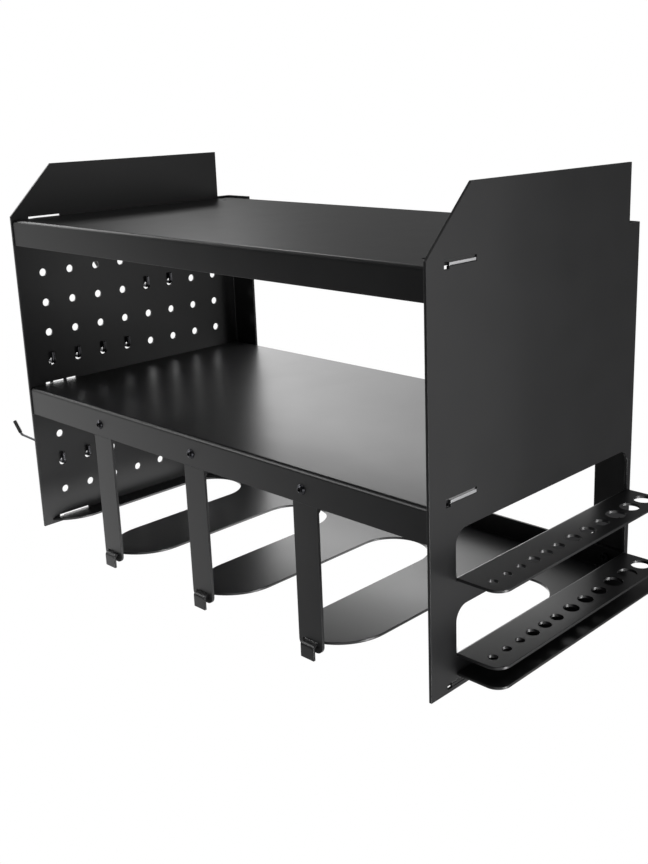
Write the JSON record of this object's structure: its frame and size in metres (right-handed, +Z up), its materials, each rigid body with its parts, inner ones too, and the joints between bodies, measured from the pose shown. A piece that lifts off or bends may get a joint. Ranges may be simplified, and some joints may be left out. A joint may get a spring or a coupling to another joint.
{
  "type": "power tool cabinet",
  "caption": "Open wall-hung power tool cabinet of folded black sheet steel with shelves, open drill slots, a pegboard side with hooks and bit racks on the other side.",
  "frame": {"origin": "middle of the four wall holes, on the wall plane", "axes": "+X to the right seen from the front, +Y into the wall, +Z up; the open front faces -Y"},
  "size_m": [0.5756, 0.2317, 0.3145],
  "materials": {
    "powder_coat": "satin black powder coat",
    "black_hardware": "black oxide screws and nuts",
    "hook_wire": "dark plated round wire",
    "vinyl_cap": "soft black vinyl"
  },
  "bodies": {
    "cabinet": {"left_panel": "powder_coat", "right_panel": "powder_coat", "top_shelf": "powder_coat", "middle_shelf": "powder_coat", "drill_rack": "powder_coat", "strap_left": "powder_coat", "strap_middle": "powder_coat", "strap_right": "powder_coat", "strap_screw_left": "black_hardware", "strap_screw_middle": "black_hardware", "strap_screw_right": "black_hardware", "strap_nut_left": "black_hardware", "strap_nut_middle": "black_hardware", "strap_nut_right": "black_hardware", "bit_tray": "powder_coat", "top_screw_left": "black_hardware", "top_screw_right": "black_hardware", "middle_screw_left": "black_hardware", "middle_screw_right": "black_hardware", "rack_screw_left": "black_hardware", "rack_screw_right": "black_hardware"},
    "hook_low": {"hook_low": "hook_wire", "cap_low": "vinyl_cap"},
    "hook_high": {"hook_high": "hook_wire", "cap_high": "vinyl_cap"},
    "hook_front": {"hook_front": "hook_wire", "cap_front": "vinyl_cap"},
    "hook_back": {"hook_back": "hook_wire", "cap_back": "vinyl_cap"}
  },
  "joints": [
    {"name": "hook_low_tilt", "type": "hinge", "parent": "cabinet", "child": "hook_low", "pos_m": [-0.2195, -0.1923, -0.0812], "axis": [0, 1, 0], "range_deg": [0, 30]},
    {"name": "hook_high_tilt", "type": "hinge", "parent": "cabinet", "child": "hook_high", "pos_m": [-0.2195, -0.0907, 0.0593], "axis": [0, 1, 0], "range_deg": [0, 30]},
    {"name": "hook_front_tilt", "type": "hinge", "parent": "cabinet", "child": "hook_front", "pos_m": [-0.2195, -0.1923, 0.0085], "axis": [0, 1, 0], "range_deg": [0, 30]},
    {"name": "hook_back_tilt", "type": "hinge", "parent": "cabinet", "child": "hook_back", "pos_m": [-0.2195, -0.1415, 0.0085], "axis": [0, 1, 0], "range_deg": [0, 30]}
  ]
}
